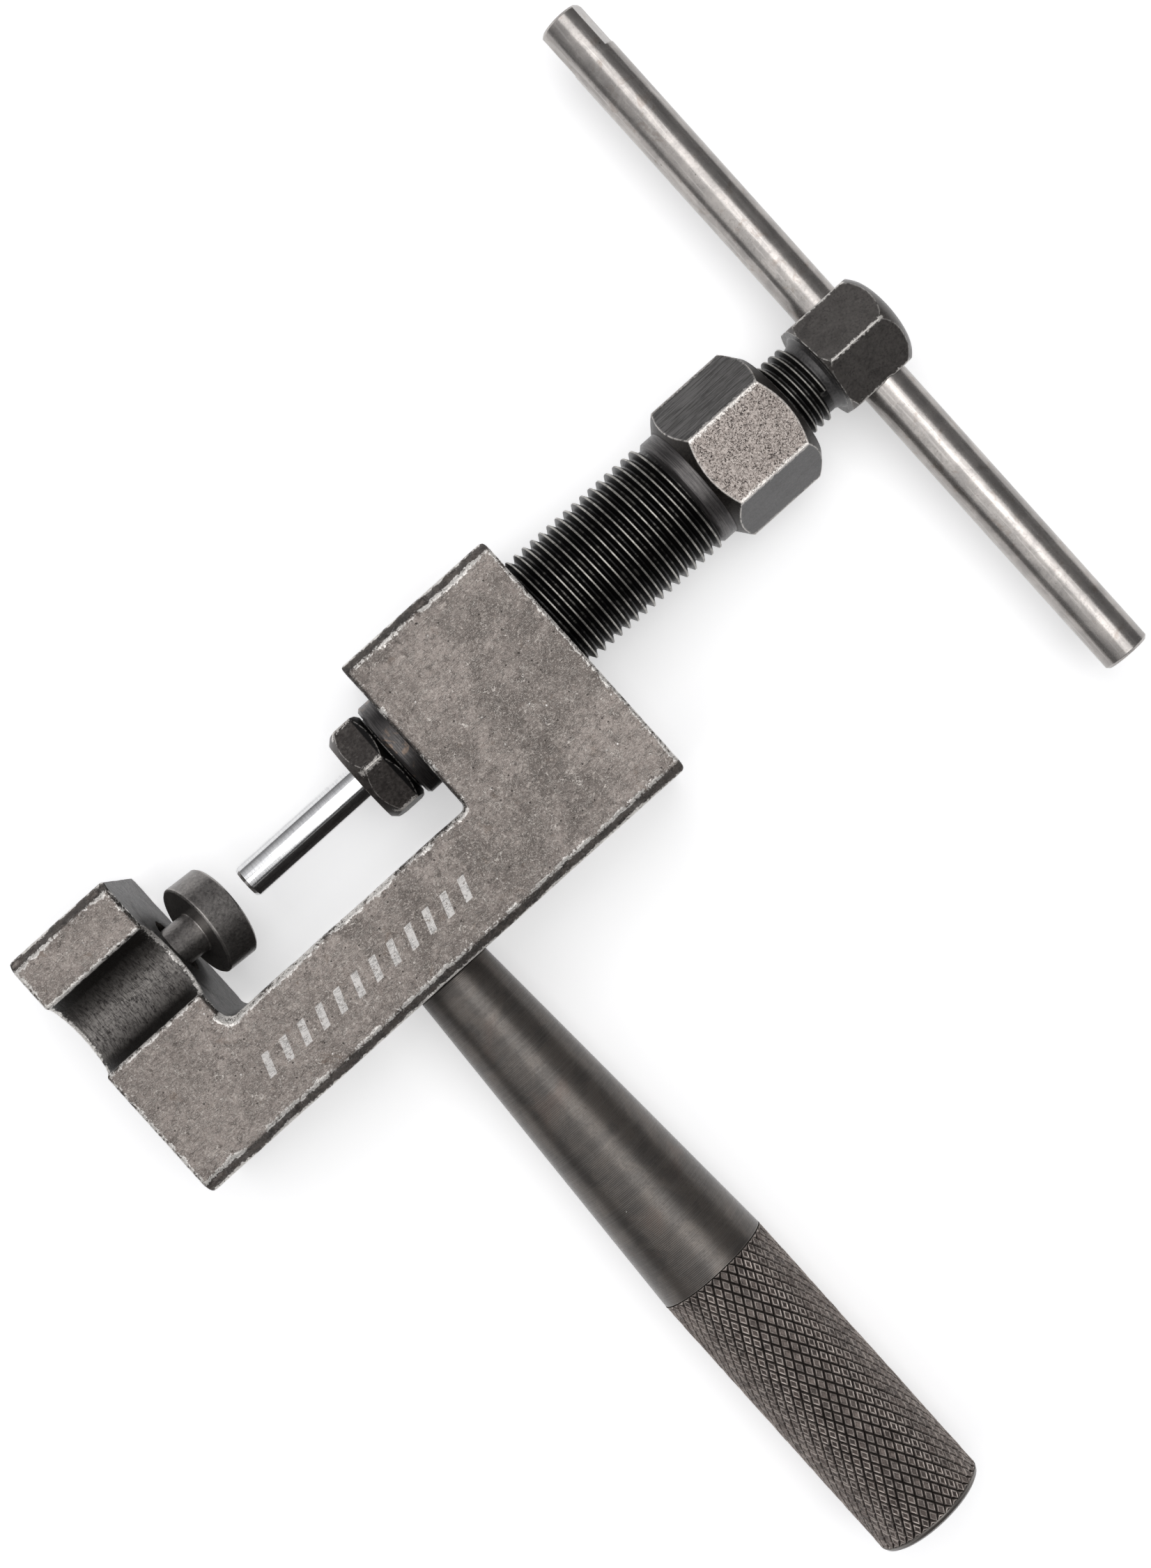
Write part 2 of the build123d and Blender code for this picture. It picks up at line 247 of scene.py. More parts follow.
def hashed(cell, seed):
    """A repeatable random number from 0 to 1 for each integer lattice point."""
    h = (
        cell[..., 0] * 374761393
        + cell[..., 1] * 668265263
        + cell[..., 2] * 2147483647
        + seed * 1274126177
    )
    h = h.astype(np.int64) & 0xFFFFFFFF
    h = ((h ^ (h >> 13)) * 1274126177) & 0xFFFFFFFF
    h = ((h ^ (h >> 16)) * 2246822519) & 0xFFFFFFFF
    return ((h ^ (h >> 15)) & 0xFFFFFF) / float(0xFFFFFF)


def field(points, size, seed):
    """Smooth noise from 0 to 1 at points (mm), with lumps about size mm across."""
    q = points / size
    base = np.floor(q).astype(np.int64)
    t = q - base
    t = t * t * (3 - 2 * t)
    total = np.zeros(len(points))
    for i in (0, 1):
        for j in (0, 1):
            for k in (0, 1):
                w = (t[:, 0] if i else 1 - t[:, 0]) * (t[:, 1] if j else 1 - t[:, 1])
                w = w * (t[:, 2] if k else 1 - t[:, 2])
                total += w * hashed(base + np.array([i, j, k]), seed)
    return total


def smooth(x, low, high):
    t = np.clip((x - low) / (high - low), 0, 1)
    return t * t * (3 - 2 * t)


def piece(name, verts, faces, body, replaced, smooth_shade=True):
    """A new mesh in metres from points in mm, riding on a body in place of a CAD node."""
    mesh = bpy.data.meshes.new(name)
    mesh.from_pydata([tuple(v) for v in np.asarray(verts) * MM], [], [tuple(f) for f in faces])
    mesh.update()
    if smooth_shade:
        mesh.shade_smooth()
    obj = bpy.data.objects.new(name, mesh)
    bpy.context.scene.collection.objects.link(obj)
    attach(obj, body)
    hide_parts(replaced)
    return obj


def worn_frame():
    """The C-frame remeshed finely, with hand-dressed, chipped edges and slightly uneven faces."""
    source = nodes["frame_body"]
    copy = bpy.data.objects.new("frame_work", source.data.copy())
    bpy.context.scene.collection.objects.link(copy)
    remesh = copy.modifiers.new("voxels", "REMESH")
    remesh.mode = "VOXEL"
    remesh.voxel_size = 0.36 * MM
    bpy.context.view_layer.update()
    mesh = bpy.data.meshes.new_from_object(copy.evaluated_get(bpy.context.evaluated_depsgraph_get()))
    bpy.data.objects.remove(copy)
    n = len(mesh.vertices)
    co = np.zeros(n * 3, np.float32)
    mesh.vertices.foreach_get("co", co)
    p = co.reshape(-1, 3).astype(float) / MM
    normal = np.zeros(n * 3, np.float32)
    mesh.vertex_normals.foreach_get("vector", normal)
    normal = normal.reshape(-1, 3).astype(float)

    lo, hi = (np.array(c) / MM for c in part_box("frame_body"))
    half = hi[2]
    jaw_x, screw_x, spine_y = lo[0] + ANVIL_JAW, lo[0] + SCREW_JAW_START, hi[1] - GAP_DEPTH
    chips = field(p, 1.1, 3) ** 3
    waves = field(p, 4.0, 5)
    fine = field(p, 0.6, 9)
    corner_a, corner_s = CORNER_AT_ANVIL, CORNER_AT_SCREW
    # each plan edge: point, inward normal, start and end of its run, bevel size, chip size
    edges = (
        ((lo[0], lo[1]), (0, 1), (lo[0], hi[0]), 1.38, 0.35),
        ((lo[0], hi[1]), (0, -1), (lo[0], jaw_x), 1.38, 0.35),
        ((lo[0], hi[1]), (0, -1), (screw_x, hi[0]), 1.38, 0.35),
        ((lo[0], spine_y), (0, -1), (jaw_x + corner_a, screw_x - corner_s), 0.45, 0.4),
        ((lo[0], lo[1]), (1, 0), (lo[1], hi[1]), 0.16, 0.35),
        ((hi[0], lo[1]), (-1, 0), (lo[1], hi[1]), 0.16, 0.3),
        ((jaw_x, lo[1]), (-1, 0), (spine_y + corner_a, hi[1]), 0.22, 0.35),
        ((screw_x, lo[1]), (1, 0), (spine_y + corner_s, hi[1]), 0.22, 0.3),
    )
    above = half - np.abs(p[:, 2])
    edge_mm = np.full(n, 9.0)

    def dress_edge(here, inward, outward, size, chip):
        """Cuts a wide face's corner back to an uneven bevel and notes each point's distance from it."""
        bevel = size * (0.75 + 0.5 * waves) + chip * chips * 1.6
        reach = above + inward
        cut = np.where(here, np.clip(bevel - reach, 0, None), 0) / 2
        p[:, 0] += outward[0] * cut
        p[:, 1] += outward[1] * cut
        p[:, 2] -= np.sign(p[:, 2]) * cut
        away = np.clip(reach - bevel, 0, None) + 1.4 * np.clip(np.minimum(above, inward), 0, None)
        np.minimum(edge_mm, np.where(here, away, 9.0), out=edge_mm)

    for (ex, ey), (nx, ny), (start, end), size, chip in edges:
        inward = (p[:, 0] - ex) * nx + (p[:, 1] - ey) * ny
        along = p[:, 0] if ny else p[:, 1]
        here = (along > start - 0.05) & (along < end + 0.05) & (inward > -0.3) & (inward < 5)
        dress_edge(here, inward, (nx, ny), size, chip)
    inner_corners = (
        (jaw_x + corner_a, -1, corner_a, 0.7),
        (screw_x - corner_s, 1, corner_s, 0.3),
    )
    for cx, sign, r, size in inner_corners:
        cy = spine_y + r
        dx, dy = p[:, 0] - cx, p[:, 1] - cy
        reach = np.maximum(np.hypot(dx, dy), 1e-6)
        here = (dx * sign > 0) & (dy < 0) & (reach < 6)
        dress_edge(here, reach - r, (dx / reach, dy / reach), size, 0.3)
    # rims of the half-round channel
    cy, cz, cr = CHANNEL_Y, half, CHANNEL_R
    out_y, out_z = p[:, 1] - cy, p[:, 2] - cz
    reach = np.hypot(out_y, out_z)
    inside_jaw = (p[:, 0] < jaw_x + 0.5) & (p[:, 2] > 0)
    depth = reach - cr
    for inward, axis in ((half - p[:, 2], 2), (p[:, 0] - lo[0], 0), (jaw_x - p[:, 0], 0)):
        near = inside_jaw & (depth > -0.3) & (depth < 4) & (inward > -0.3) & (inward < 4)
        bevel = 0.16 * (0.6 + 0.8 * waves) + 0.3 * chips
        cut = np.where(near, np.clip(bevel - (depth + inward), 0, None), 0) / 2
        p[:, 1] += out_y / reach * cut
        p[:, 2] += out_z / reach * cut
        if axis == 0:
            p[:, 0] += np.sign((lo[0] + jaw_x) / 2 - p[:, 0]) * cut
        else:
            p[:, 2] -= cut
        away = np.clip(depth + inward - bevel, 0, None) + 1.4 * np.clip(np.minimum(depth, inward), 0, None)
        np.minimum(edge_mm, np.where(near, away, 9.0), out=edge_mm)
    in_channel = inside_jaw & (depth < 0.12) & (p[:, 2] < half - 0.1)
    in_channel &= (p[:, 0] < jaw_x - 0.1) & (p[:, 0] > lo[0] + 0.1)
    off_axis = np.hypot(p[:, 1], p[:, 2])
    in_seat = (p[:, 0] > lo[0] + 0.2) & (p[:, 0] < jaw_x - 0.2) & (off_axis < ANVIL_BORE_EDGE)
    in_thread = (p[:, 0] > screw_x + 0.2) & (p[:, 0] < hi[0] - 0.2) & (off_axis < MAIN_BORE_EDGE)
    from_gap_middle = np.abs(p[:, 0] - (jaw_x + screw_x) / 2)
    in_gap = (from_gap_middle < GAP_LENGTH / 2 + 0.15) & (p[:, 1] > spine_y - 0.15) & (above > 0.35)
    cut_mask = (in_channel | in_seat | in_thread | in_gap).astype(np.float32)
    # uneven faces: rolled skin outside, coarser where the gap and the channel were cut
    machined = (p[:, 0] > jaw_x - 0.3) & (p[:, 0] < screw_x + 0.3) & (p[:, 1] > spine_y - 0.3)
    rough = 0.03 + 0.09 * machined
    rough = np.where(off_axis < MAIN_BORE_EDGE, 0.0, rough)
    p -= normal * (rough * (0.6 * waves + 0.4 * fine))[:, None]
    # dents on the two wide faces
    rng = np.random.default_rng(12)
    for _ in range(70):
        cx, cy2 = rng.uniform(lo[0], hi[0]), rng.uniform(lo[1], hi[1])
        size, deep = rng.uniform(0.35, 0.9), rng.uniform(0.03, 0.1)
        face = 1 if rng.random() < 0.5 else -1
        spread = np.exp(-(((p[:, 0] - cx) / size) ** 2 + ((p[:, 1] - cy2) / (size * 0.6)) ** 2))
        p[:, 2] -= face * deep * spread * (p[:, 2] * face > half - 0.25)
    p = np.clip(p, lo, hi)
    mesh.vertices.foreach_set("co", (p * MM).astype(np.float32).ravel())
    for name, values in (("edge_mm", edge_mm.astype(np.float32)), ("cut", cut_mask)):
        mesh.attributes.new(name, "FLOAT", "POINT").data.foreach_set("value", values)
    mesh.update()
    mesh.shade_smooth()
    obj = bpy.data.objects.new("frame_dressed", mesh)
    bpy.context.scene.collection.objects.link(obj)
    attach(obj, "frame")
    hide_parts("frame_body")
    return obj


def return_coil():
    """The return spring, seated on the guide nut's stud."""
    source = nodes["return_spring"]
    coil = bpy.data.objects.new("return_coil", source.data.copy())
    coil.matrix_world = source.matrix_world.copy()
    bpy.context.scene.collection.objects.link(coil)
    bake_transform(coil)
    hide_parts("return_spring")
    return coil


def knurled_handle():
    """The turned taper and the diamond-knurled grip, each knurl a flat-topped pyramid."""
    lo, hi = (np.array(c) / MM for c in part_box("handle"))
    cx, r = (lo[0] + hi[0]) / 2, (hi[0] - lo[0]) / 2
    top_y, end_y, neck_r, sides = hi[1], lo[1], HANDLE_NECK_R, 128
    knurl_y, stop_y = top_y - TAPER_LENGTH, end_y + 1.1

    def turned_core(profile):
        """Rings of points about the handle's axis, joined into a closed skin that faces outwards."""
        first = len(verts)
        for radius, y in profile:
            for k in range(sides):
                a = 2 * math.pi * k / sides
                verts.append((cx + radius * math.cos(a), y, radius * math.sin(a)))
                shine.append(0.0)
        for i in range(len(profile) - 1):
            for k in range(sides):
                j = (k + 1) % sides
                a, b = first + i * sides, first + (i + 1) * sides
                faces.append((a + k, a + j, b + j, b + k))
        faces.append(tuple(first + k for k in reversed(range(sides))))
        faces.append(tuple(len(verts) - sides + k for k in range(sides)))

    verts, faces, shine = [], [], []
    turned_core([
        (0.5, top_y), (neck_r - 0.3, top_y), (neck_r, top_y - 0.3), (r - 0.05, knurl_y + 0.15),
        (r - 0.16, knurl_y), (r - 1.2, knurl_y - 0.02), (r - 1.2, stop_y + 0.02), (r - 0.14, stop_y),
        (r - 0.05, stop_y - 0.2), (r - 0.28, end_y + 0.45), (r - 0.8, end_y + 0.12),
        (r - 1.6, end_y + 0.02), (4.0, end_y + 0.01), (0.4, end_y + 0.01),
    ])
    around, lead, drop, land = 38, 2.4, 0.36, 0.15
    rng = np.random.default_rng(4)
    rows = int((knurl_y - stop_y) / lead) + 2
    corners = ((0, 0), (1, 0), (1, 1), (0, 1))
    for row in range(-2, 2 * rows + 2):
        for column in range(around):
            # cell (i, j) of the two groove families; i - j counts half leads down the grip
            i, j = column + (row + 1) // 2, column - row // 2
            wear = rng.uniform(0.0, 0.05)
            first = len(verts)
            for inset, radius, gleam in (
                (0.0, r - drop, 0.0),
                (land, r - 0.03 - wear, 0.5),
                (land + 0.06, r - wear, 1.0),
                (land + 0.17, r - 0.07 - wear, 0.0),
            ):
                for du, dv in corners:
                    u, v = i + inset + du * (1 - 2 * inset), j + inset + dv * (1 - 2 * inset)
                    a, y = math.pi * (u + v) / around, knurl_y + 0.5 - (u - v) / 2 * lead
                    y = min(max(y, stop_y), knurl_y)
                    verts.append((cx + radius * math.cos(a), y, radius * math.sin(a)))
                    shine.append(gleam)
            for level in range(3):
                for k in range(4):
                    m, a = (k + 1) % 4, first + level * 4
                    faces.append((a + k, a + 4 + k, a + 4 + m, a + m))
            faces.append(tuple(first + 12 + k for k in reversed(range(4))))
    obj = piece("handle_knurled", verts, faces, "frame", "handle")
    obj.data.attributes.new("rim", "FLOAT", "POINT").data.foreach_set("value", shine)
    obj.data.set_sharp_from_angle(angle=math.radians(24))
    return obj


def smudge(g, base, dark, amount=0.5, scale=0.45):
    """Cloudy darker patches over a base colour."""
    cloud = g.noise(scale, 4.0, 0.6, 0.8, g.place(move=(5, 9, 1)))
    return g.mix(g.product(g.span(cloud, 0.45, 0.7), amount), base, dark)


def frame_steel():
    """Oxidised flat bar: warm mottled grey-brown, crystal flecks, hairlines, chipped bright edges."""
    g = Graph("frame_oxide")
    edge, cut = g.attribute("edge_mm"), g.attribute("cut")
    cloud = g.noise(0.13, 4.0, 0.62, 0.6)
    blotch = g.noise(0.75, 5.0, 0.68, 0.7)
    worms = g.noise(1.5, 3.0, 0.6, 2.6)
    flecks = g.noise(3.4, 3.0, 0.7, 1.6, g.place(move=(7, 3, 5)))
    grit = g.noise(8.0, 2.0, 0.6)
    base = g.mix(g.span(cloud, 0.36, 0.66), rgb(104, 96, 91), rgb(150, 140, 134))
    base = g.mix(g.product(g.span(g.x, 25.0, -25.0), 0.45), base, rgb(152, 142, 136))
    base = g.mix(g.product(g.span(blotch, 0.46, 0.34), 0.8), base, rgb(84, 76, 71))
    base = g.mix(g.product(g.span(blotch, 0.55, 0.68), 0.7), base, rgb(168, 159, 152))
    base = g.mix(g.product(g.span(worms, 0.44, 0.38), 0.5), base, rgb(76, 69, 65))
    base = g.mix(g.product(g.span(worms, 0.57, 0.61), 0.5), base, rgb(186, 178, 171))
    base = g.mix(g.product(g.span(flecks, 0.44, 0.39), 0.4), base, rgb(76, 69, 65))
    base = g.mix(g.product(g.span(flecks, 0.58, 0.61), 0.7), base, rgb(204, 197, 190))
    base = g.mix(g.product(g.span(grit, 0.5, 0.72), 0.35), base, rgb(160, 152, 146))
    stain = g.span(g.noise(0.3, 3.0, 0.6, 1.0, g.place(move=(31, 7, 2))), 0.62, 0.74)
    base = g.mix(g.product(stain, 0.3), base, rgb(112, 92, 76))
    hair = g.hairlines(0.42, 0.022, 0.50, 1)
    hair = g.math("MAXIMUM", hair, g.product(g.hairlines(0.85, 0.03, 0.52, 2), 0.8))
    hair = g.math("MAXIMUM", hair, g.scratches(0.42, 0.012, 0.50, 24))
    hair = g.math("MAXIMUM", hair, g.scratches(0.5, 0.012, 0.50, 70))
    hair = g.math("MAXIMUM", hair, g.scratches(0.46, 0.012, 0.52, 118))
    base = g.mix(g.product(hair, 0.8), base, rgb(206, 199, 192))
    nicks = g.specks(0.55, 0.09, 0.72, 0)
    base = g.mix(nicks, base, rgb(222, 218, 214))
    pits = g.specks(1.1, 0.16, 0.74, 1)
    base = g.mix(g.product(pits, 0.75), base, rgb(54, 48, 45))
    # painted shade: sides that don't face up are painted darker, as they fall into shade under the light
    # from above
    geometry = g.add("ShaderNodeNewGeometry")
    up = g.math("ABSOLUTE", g.add("ShaderNodeSeparateXYZ", geometry.outputs["Normal"]).outputs[2])
    side_shade = g.math("SUBTRACT", 1.0, g.span(up, 0.80, 0.95))
    side_shade_color = g.mix(g.span(blotch, 0.35, 0.68), rgb(44, 40, 38), rgb(84, 77, 72))
    base = g.mix(g.product(side_shade, 0.9), base, side_shade_color)
    # the cutter scored the channel across; painted shade blackens the channel up its walls and towards its
    # +Y side; the gap's walls are rough, and painted near-black as painted shade
    milled = g.noise(1.4, 4.0, 0.7, 1.2, g.place(scale=(2.4, 0.55, 0.55)))
    channel = g.mix(g.span(milled, 0.36, 0.64), rgb(80, 76, 74), rgb(130, 126, 122))
    scored = g.product(g.span(milled, 0.45, 0.41), g.span(flecks, 0.44, 0.54), 0.9)
    channel = g.mix(scored, channel, rgb(36, 33, 32))
    # painted shade: darker up the channel's walls and towards its +Y side, where its shadow falls
    channel_wall_shade = g.product(g.span(g.z, 7.3, 9.2), 0.95)
    channel_side_shadow = g.product(g.span(g.y, -1.0, 3.2), 0.85)
    shade = g.math("MAXIMUM", channel_wall_shade, channel_side_shadow)
    channel = g.mix(shade, channel, rgb(20, 17, 15))
    # painted shade: the gap's steep walls are painted near-black; the lighter flecks on them are the rough
    # cut
    gap_wall = g.mix(g.span(blotch, 0.38, 0.66), rgb(26, 24, 24), rgb(62, 58, 56))
    gap_wall = g.mix(g.product(g.span(flecks, 0.56, 0.64), 0.5), gap_wall, rgb(104, 100, 98))
    cut_color = g.mix(g.span(g.x, -12.75, -12.65), channel, gap_wall)
    base = g.mix(cut, base, cut_color)
    # chipped bright line along every edge, its width varying from place to place
    ragged = g.noise(1.5, 5.0, 0.75, 0.8)
    width = g.span(ragged, 0.34, 0.66, 0.05, 0.62, smooth=False)
    line = g.span(edge, g.math("MULTIPLY", width, 0.75), width, 1.0, 0.0)
    line = g.product(line, g.span(g.noise(3.6, 3.0, 0.7), 0.34, 0.46))
    halo = g.product(g.span(edge, 0.0, 1.3, 1.0, 0.0), g.span(flecks, 0.56, 0.64), 0.5)
    base = g.mix(g.math("MAXIMUM", line, halo), base, rgb(226, 222, 217))
    base = g.mix(etched_bars(g), base, rgb(208, 205, 202))
    rough = g.span(flecks, 0.3, 0.7, 0.42, 0.58)
    rough = g.math("SUBTRACT", rough, g.product(cut, 0.08))
    rough = g.math("SUBTRACT", rough, g.product(line, 0.16))
    height = g.math("ADD", g.product(blotch, 0.5), g.product(flecks, 0.4))
    height = g.math("ADD", height, g.product(worms, 0.4))
    height = g.math("SUBTRACT", height, g.product(hair, 0.35))
    height = g.math("SUBTRACT", height, g.product(pits, 0.8))
    height = g.math("ADD", height, g.product(milled, cut, 0.8))
    return g.finish(base, rough, 0.55, g.bump(height, 0.07))


def etched_bars(g):
    """A plain etched rule on the spine: short slanted bars, worn through in places."""
    u = g.math("ADD", g.x, g.math("MULTIPLY", g.y, -0.35))
    cell = g.math("FRACT", g.math("DIVIDE", u, 3.1))
    bar = g.product(g.span(cell, 0.14, 0.17), g.span(cell, 0.50, 0.53, 1.0, 0.0))
    row = g.product(g.span(g.y, -21.8, -21.7), g.span(g.y, -18.7, -18.6, 1.0, 0.0))
    run = g.product(g.span(u, -5.8, -5.7), g.span(u, 31.4, 31.5, 1.0, 0.0))
    face = g.span(g.z, 12.2, 12.3)
    worn = g.span(g.noise(1.7, 4.0, 0.7, 0.5, g.place(move=(2, 4, 9))), 0.34, 0.44)
    return g.product(bar, row, run, face, worn, 0.85)


def radius_about_x(g):
    return g.math("SQRT", g.math("ADD", g.math("MULTIPLY", g.y, g.y), g.math("MULTIPLY", g.z, g.z)))


def reach_towards(g, degrees):
    """How far a point lies from the screw axis towards an angle measured from +Y to +Z."""
    a = math.radians(degrees)
    return g.math("ADD", g.math("MULTIPLY", g.y, math.cos(a)), g.math("MULTIPLY", g.z, math.sin(a)))


def corner_line(g, degrees, width):
    """A ragged bright line down each corner of a hexagon about the screw axis."""
    turn = g.math("SUBTRACT", g.math("ARCTAN2", g.z, g.y), math.radians(degrees))
    from_corner = g.math("PINGPONG", g.math("ADD", turn, 4 * math.pi), math.radians(30))
    away = g.math("MULTIPLY", from_corner, radius_about_x(g))
    ragged = g.noise(2.2, 5.0, 0.75, 0.8)
    reach = g.span(ragged, 0.36, 0.66, 0.0, width, smooth=False)
    return g.span(away, g.math("MULTIPLY", reach, 0.7), reach, 1.0, 0.0)


def threads(g, crest_r, root_r, flank, crest):
    """Black flanks, rubbed bright crests and a faint line along the root."""
    r = radius_about_x(g)
    patch = g.noise(0.7, 4.0, 0.7, 0.0, g.place(scale=(0.4, 1, 1)))
    top = g.product(g.span(r, crest_r - 0.10, crest_r - 0.02), g.span(patch, 0.30, 0.60, 0.35, 1.0))
    color = g.mix(top, flank, crest)
    root = g.product(g.span(r, root_r + 0.10, root_r + 0.02), g.span(patch, 0.5, 0.62), 0.5)
    return g.mix(root, color, rgb(104, 102, 98)), top


def pressure_bolt_steel():
    g = Graph("bolt_oxide")
    fine = g.noise(3.0, 4.0, 0.65)
    cloud = g.noise(0.5, 4.0, 0.6, 0.6)
    thread_color, crest = threads(g, 8.94, 8.05, rgb(20, 19, 19), rgb(160, 157, 151))
    turned = g.noise(6.0, 3.0, 0.6, 0.0, g.place(scale=(1, 0.05, 0.05)))
    satin = g.mix(g.span(turned, 0.35, 0.68), rgb(62, 60, 60), rgb(92, 89, 88))
    brown = g.product(g.span(cloud, 0.56, 0.68), g.span(g.x, 30.6, 31.0, 1.0, 0.0), 0.45)
    satin = g.mix(brown, satin, rgb(150, 128, 110))
    is_thread = g.product(g.span(g.x, 30.9, 31.2), g.span(g.x, 78.55, 78.75, 1.0, 0.0))
    base = g.mix(is_thread, satin, thread_color)
    # hexagon: opposite pairs of faces differ; the pair facing up and down is lighter and pitted, the pair
    # nearer +Y darker and brushed, the third plain
    top_face = g.math("ABSOLUTE", reach_towards(g, 98.7))
    slant_face = g.math("ABSOLUTE", reach_towards(g, 38.7))
    third = g.math("ABSOLUTE", reach_towards(g, 158.7))
    widest = g.math("MAXIMUM", top_face, g.math("MAXIMUM", slant_face, third))
    flat = g.span(widest, 9.36, 9.40)
    worm = g.noise(2.6, 3.0, 0.6, 2.2)
    pit = g.product(g.span(worm, 0.56, 0.62), g.span(g.noise(0.9, 2.0, 0.5), 0.34, 0.5))
    pitted_pair = g.mix(g.span(fine, 0.40, 0.60), rgb(118, 109, 104), rgb(172, 163, 157))
    pitted_pair = g.mix(g.product(g.span(worm, 0.42, 0.36), 0.6), pitted_pair, rgb(196, 188, 182))
    pitted_pair = g.mix(pit, pitted_pair, rgb(56, 49, 46))
    brush = g.noise(2.2, 4.0, 0.75, 0.0, g.place(scale=(0.10, 1.6, 1.6)))
    brushed_pair = g.mix(g.span(brush, 0.40, 0.60), rgb(48, 46, 45), rgb(92, 90, 89))
    plain = g.mix(g.span(fine, 0.35, 0.66), rgb(66, 65, 65), rgb(90, 89, 89))
    plain = g.mix(g.product(g.span(worm, 0.58, 0.64), 0.6), plain, rgb(48, 46, 45))
    hexagon = g.mix(g.span(top_face, 9.36, 9.40), plain, pitted_pair)
    hexagon = g.mix(g.span(slant_face, 9.36, 9.40), hexagon, brushed_pair)
    cone = g.mix(g.span(fine, 0.35, 0.66), rgb(36, 33, 31), rgb(54, 50, 47))
    hexagon = g.mix(flat, cone, hexagon)
    is_hex = g.span(g.x, 81.27, 81.31)
    base = g.mix(is_hex, base, hexagon)
    edge = g.product(g.worn_edge(0.35, 0.006, 0.06), g.span(g.x, 81.4, 81.6))
    worn = g.product(edge, g.span(g.noise(1.6, 4.0, 0.7), 0.38, 0.54))
    # the light face carries a wider rubbed border
    is_top = g.span(top_face, 9.36, 9.40)
    border = g.product(is_top, g.worn_edge(0.7, 0.003, 0.03), g.span(worm, 0.44, 0.54), 0.8)
    rubbed = g.product(corner_line(g, 8.7, 0.75), g.span(top_face, 9.36, 9.40, 0.45, 1.0), is_hex, flat)
    worn = g.math("MAXIMUM", g.product(worn, 0.9), g.math("MAXIMUM", border, rubbed))
    base = g.mix(worn, base, rgb(222, 217, 212))
    rough = g.span(fine, 0.3, 0.7, 0.30, 0.42)
    rough = g.math("ADD", rough, g.product(is_hex, 0.1))
    rough = g.math("SUBTRACT", rough, g.product(crest, 0.08))
    height = g.math("ADD", g.product(fine, 0.4), g.product(turned, 0.25))
    height = g.math("SUBTRACT", height, g.product(pit, is_hex, g.span(top_face, 9.36, 9.40), 1.2))
    return g.finish(base, rough, 0.7, g.bump(height, 0.05, g.rounded(0.18)))


def drive_bolt_steel():
    g = Graph("drive_oxide")
    fine = g.noise(3.0, 4.0, 0.65)
    thread_color, crest = threads(g, 5.94, 5.22, rgb(18, 17, 17), rgb(150, 147, 142))
    neck = g.mix(g.span(fine, 0.35, 0.66), rgb(58, 57, 57), rgb(78, 76, 76))
    is_thread = g.span(g.x, 102.2, 102.35, 1.0, 0.0)
    base = g.mix(is_thread, neck, thread_color)
    head = g.mix(g.span(fine, 0.3, 0.7), rgb(72, 69, 67), rgb(90, 86, 83))
    head = smudge(g, head, rgb(56, 53, 51), 0.6)
    base = g.mix(g.span(g.x, 103.78, 103.82), base, head)
    scratch = g.scratches(0.5, 0.010, 0.56, 31)
    base = g.mix(g.product(scratch, 0.4), base, rgb(130, 126, 122))
    edge = g.product(g.worn_edge(0.3, 0.006, 0.06), g.span(g.x, 103.7, 103.8))
    worn = g.product(edge, g.span(g.noise(1.4, 4.0, 0.7), 0.40, 0.56))
    corner = g.product(corner_line(g, -25.5, 0.5), g.span(g.x, 104.5, 104.7), g.span(g.x, 113.9, 113.6))
    base = g.mix(g.math("MAXIMUM", g.product(worn, 0.9), corner), base, rgb(214, 210, 205))
    rough = g.math("SUBTRACT", g.span(fine, 0.3, 0.7, 0.34, 0.46), g.product(crest, 0.1))
    return g.finish(base, rough, 0.4, g.bump(fine, 0.012, g.rounded(0.18)))


def guide_nut_steel():
    g = Graph("guide_oxide")
    fine = g.noise(2.4, 4.0, 0.65)
    base = g.mix(g.span(fine, 0.3, 0.7), rgb(62, 58, 56), rgb(90, 85, 82))
    base = smudge(g, base, rgb(48, 44, 43), 0.5)
    base = g.mix(g.product(g.scratches(0.6, 0.012, 0.50, 71), 0.6), base, rgb(136, 132, 128))
    edge = g.worn_edge(0.25, 0.006, 0.06)
    worn = g.product(edge, g.span(g.noise(1.5, 4.0, 0.75), 0.40, 0.54))
    # the rear band next to the collar is painted near-black as a painted shadow; the corner that faces up
    # has been knocked bright
    base = g.mix(g.product(g.span(g.x, 25.0, 25.2), g.span(g.x, 27.0, 26.9)), base, rgb(16, 15, 15))
    patches = g.span(g.noise(3.4, 4.0, 0.75), 0.34, 0.46)
    on_flats = g.product(g.span(g.x, 25.2, 25.0), g.span(radius_about_x(g), 7.0, 7.3))
    knock = g.product(corner_line(g, 28.5, 0.8), patches, on_flats)
    base = g.mix(g.math("MAXIMUM", g.product(worn, 0.9), knock), base, rgb(214, 209, 204))
    return g.finish(base, g.span(fine, 0.3, 0.7, 0.34, 0.48), 0.7, g.bump(fine, 0.015, g.rounded(0.18)))


